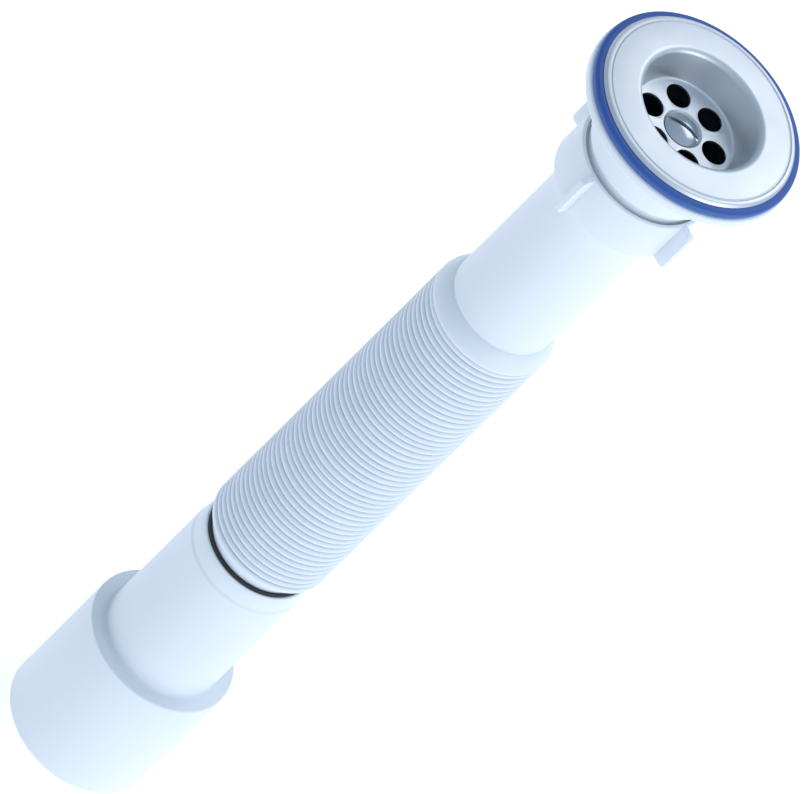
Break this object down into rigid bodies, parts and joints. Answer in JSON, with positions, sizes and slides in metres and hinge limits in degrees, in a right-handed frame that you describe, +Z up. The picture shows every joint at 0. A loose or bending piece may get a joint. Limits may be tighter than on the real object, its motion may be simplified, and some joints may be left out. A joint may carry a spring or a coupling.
{
  "type": "flexible drain trap",
  "caption": "Sink waste with strainer, gasket, winged union nut and a stretching corrugated pipe that ends in a stepped push-fit outlet.",
  "frame": {"origin": "centre of the outlet end, on the plane that the open end stands on", "axes": "+Z up the pipe's axis to the strainer; the strainer faces +Z"},
  "size_m": [0.071, 0.071, 0.3578],
  "materials": {
    "stainless_steel": "satin",
    "polished_steel": "semi-gloss",
    "blue_rubber": "satin",
    "white_plastic": "satin",
    "hose_plastic": "satin",
    "black_rubber": "matte",
    "brass": "machined"
  },
  "bodies": {
    "waste": {"strainer": "stainless_steel", "strainer_screw": "polished_steel", "flange_gasket": "blue_rubber", "waste_body": "white_plastic", "screw_insert": "brass"},
    "inlet": {"inlet_pipe": "white_plastic", "union_washer": "black_rubber", "corrugated_hose": "hose_plastic"},
    "nut": {"union_nut": "white_plastic"},
    "outlet": {"outlet_adapter": "white_plastic", "hose_seal": "black_rubber"}
  },
  "joints": [
    {"name": "union_drop", "type": "slide", "parent": "waste", "child": "inlet", "axis": [0, 0, -1], "range_m": [0, 0.0083]},
    {"name": "union_nut_turn", "type": "hinge", "parent": "inlet", "child": "nut", "pos_m": [0, 0, 0.32], "axis": [0, 0, -1], "range_deg": [0, 1295]},
    {"name": "hose_stretch", "type": "slide", "parent": "inlet", "child": "outlet", "axis": [0, 0, -1], "range_m": [0, 0.42], "deforming": ["corrugated_hose"]}
  ],
  "couplings": [
    {"joint": "union_nut_turn", "follows": "union_drop", "rad_per_m": 2721.2}
  ]
}
